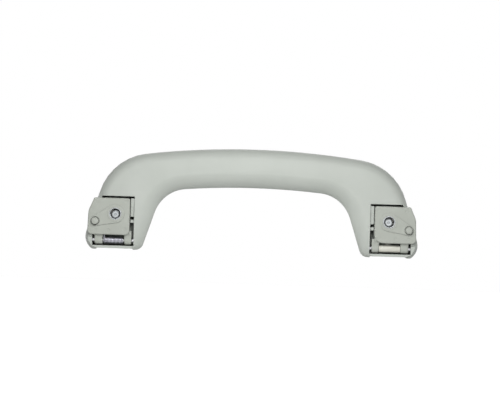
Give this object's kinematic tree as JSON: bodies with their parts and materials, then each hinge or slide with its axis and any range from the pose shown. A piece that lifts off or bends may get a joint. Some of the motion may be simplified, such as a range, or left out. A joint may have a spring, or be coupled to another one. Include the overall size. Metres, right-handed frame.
{
  "type": "roof grab handle",
  "caption": "Arched folding roof grab handle on two hinged brackets, with a return spring in one foot and a rotary damper in the other.",
  "frame": {"origin": "midway between the two fixing screws, on the plane of the roof that the seat rings rest on", "axes": "+X along the handle, +Y from the roof into the cabin, +Z to the back of the arch"},
  "size_m": [0.2446, 0.0274, 0.0767],
  "materials": {
    "shell_plastic": "fine-grained light grey moulding",
    "bracket_plastic": "smooth light grey moulding",
    "steel": "ground bright steel",
    "spring_steel": "drawn spring wire",
    "zinc_steel": "clear zinc plate",
    "damper_plastic": "ivory acetal",
    "nylon": "natural nylon",
    "rubber": "soft black rubber"
  },
  "bodies": {
    "left_mount": {"left_bracket": "bracket_plastic", "left_screw": "zinc_steel", "left_eyelet": "zinc_steel", "left_screw_retainer": "nylon"},
    "handle": {"grip": "shell_plastic", "left_hinge_pin": "steel", "right_hinge_pin": "steel", "return_spring": "spring_steel", "damper_rotor": "nylon", "left_inner_bumper": "rubber", "left_outer_bumper": "rubber", "right_inner_bumper": "rubber", "right_outer_bumper": "rubber"},
    "right_mount": {"right_bracket": "bracket_plastic", "right_screw": "zinc_steel", "right_eyelet": "zinc_steel", "right_screw_retainer": "nylon", "damper_housing": "damper_plastic"}
  },
  "joints": [
    {"name": "grip_fold", "type": "hinge", "parent": "left_mount", "child": "handle", "pos_m": [0, 0.0073, -0.0195], "axis": [-1, 0, 0], "range_deg": [0, 95], "stiffness_Nm_per_rad": 0.08, "springref_deg": -85.94, "deforming": ["return_spring"]},
    {"name": "right_bracket_fold", "type": "hinge", "parent": "handle", "child": "right_mount", "pos_m": [0, 0.0073, -0.0195], "axis": [-1, 0, 0], "range_deg": [-95, 0]}
  ],
  "couplings": [
    {"joint": "right_bracket_fold", "follows": "grip_fold", "ratio": -1}
  ]
}
